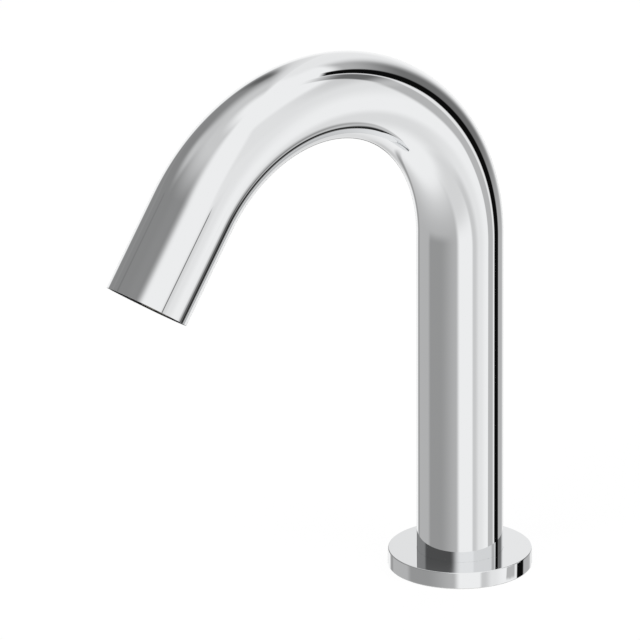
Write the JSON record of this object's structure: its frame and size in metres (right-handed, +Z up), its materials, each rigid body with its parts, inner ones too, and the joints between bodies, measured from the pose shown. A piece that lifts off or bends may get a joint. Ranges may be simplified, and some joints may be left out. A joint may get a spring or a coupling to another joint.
{
  "type": "sensor tap",
  "caption": "Deck-mounted touch-free basin tap: round chrome tube bent once over a thin round flange, with a sensor and an aerator in the downward outlet face.",
  "frame": {"origin": "centre of the flange's underside, on the deck plane and on the column's axis", "axes": "+Z up along the column, -Y the way the spout reaches, +X to the side"},
  "size_m": [0.05, 0.1748, 0.2495],
  "materials": {
    "chrome": "polished chromium plate on brass",
    "turned_brass": "turned and threaded",
    "nickelled_brass": "nickel plated, satin",
    "zinc_steel": "zinc plated pressing",
    "stainless": "stainless, fine turned",
    "black_rubber": "moulded nitrile or EPDM",
    "black_acetal": "moulded acetal, satin",
    "white_acetal": "moulded acetal",
    "grey_nylon": "moulded glass-filled nylon",
    "smoked_acrylic": "infrared-passing, polished",
    "diode_epoxy": "cast epoxy",
    "black_resin": "cast potting resin",
    "circuit_board": "solder-masked glass epoxy",
    "component_black": "moulded packages",
    "copper_winding": "enamelled copper wire",
    "lead_jacket": "PVC sheath",
    "hose_silicone": "translucent silicone"
  },
  "bodies": {
    "tap": {"spout_tube": "chrome", "base_flange": "chrome", "flange_o_ring": "black_rubber", "deck_seal": "black_rubber", "foot": "turned_brass", "foot_o_ring": "black_rubber", "threaded_shank": "turned_brass", "inlet_filter": "stainless", "check_valve_body": "white_acetal", "check_valve_spring": "stainless", "inlet_spigot": "nickelled_brass", "spigot_o_ring": "black_rubber", "valve_body": "grey_nylon", "valve_screws": "stainless", "diaphragm": "black_rubber", "core_tube": "stainless", "bonnet_nut": "nickelled_brass", "plunger_spring": "stainless", "pole_piece": "stainless", "coil_bobbin": "white_acetal", "coil_winding": "copper_winding", "coil_yoke": "zinc_steel", "yoke_nut": "zinc_steel", "board_holder": "grey_nylon", "control_board": "circuit_board", "board_components": "component_black", "coil_lead": "lead_jacket", "power_lead": "lead_jacket", "power_socket": "black_acetal", "socket_pins": "nickelled_brass", "water_hose": "hose_silicone", "hose_ferrules": "stainless", "sensor_cable": "lead_jacket", "outlet_insert": "black_acetal", "insert_o_ring": "black_rubber", "sensor_window": "smoked_acrylic", "ir_emitter": "diode_epoxy", "ir_receiver": "diode_epoxy", "sensor_baffle": "black_acetal", "sensor_board": "circuit_board", "sensor_potting": "black_resin"},
    "deck_clamp": {"rubber_washer": "black_rubber", "clamp_washer": "zinc_steel"},
    "backnut": {"backnut": "turned_brass"},
    "check_poppet": {"check_valve_poppet": "black_acetal"},
    "diaphragm_centre": {"diaphragm_plate": "white_acetal"},
    "plunger": {"plunger": "stainless", "plunger_seal": "black_rubber"},
    "aerator": {"aerator_housing": "nickelled_brass", "aerator_grid": "black_acetal", "aerator_core": "white_acetal", "flow_regulator": "black_acetal"},
    "aerator_seat": {"aerator_seal": "black_rubber"}
  },
  "joints": [
    {"name": "plunger_slide", "type": "slide", "parent": "tap", "child": "plunger", "axis": [0, 0, 1], "range_m": [0, 0.0016], "stiffness_N_per_m": 200, "springref_m": -0.004, "deforming": ["plunger_spring"]},
    {"name": "diaphragm_lift", "type": "slide", "parent": "tap", "child": "diaphragm_centre", "axis": [0, 0, 1], "range_m": [0, 0.0012], "deforming": ["diaphragm"]},
    {"name": "check_valve_lift", "type": "slide", "parent": "tap", "child": "check_poppet", "axis": [0, 0, 1], "range_m": [0, 0.002], "stiffness_N_per_m": 60, "springref_m": -0.004, "deforming": ["check_valve_spring"]},
    {"name": "clamp_slide", "type": "slide", "parent": "tap", "child": "deck_clamp", "axis": [0, 0, 1], "range_m": [-0.015, 0.018]},
    {"name": "backnut_turn", "type": "hinge", "parent": "deck_clamp", "child": "backnut", "pos_m": [0, 0, -0.028], "axis": [0, 0, 1], "range_deg": [-3601, 4321]},
    {"name": "aerator_slide", "type": "slide", "parent": "tap", "child": "aerator_seat", "axis": [0, -0.5592, -0.829], "range_m": [0, 0.005]},
    {"name": "aerator_turn", "type": "hinge", "parent": "aerator_seat", "child": "aerator", "pos_m": [0, -0.13399, 0.12568], "axis": [0, -0.5592, -0.829], "range_deg": [-1, 1801]}
  ],
  "couplings": [
    {"joint": "diaphragm_lift", "follows": "plunger_slide", "ratio": 0.75},
    {"joint": "backnut_turn", "follows": "clamp_slide", "rad_per_m": 4188.8},
    {"joint": "aerator_turn", "follows": "aerator_slide", "rad_per_m": 6283.2}
  ]
}
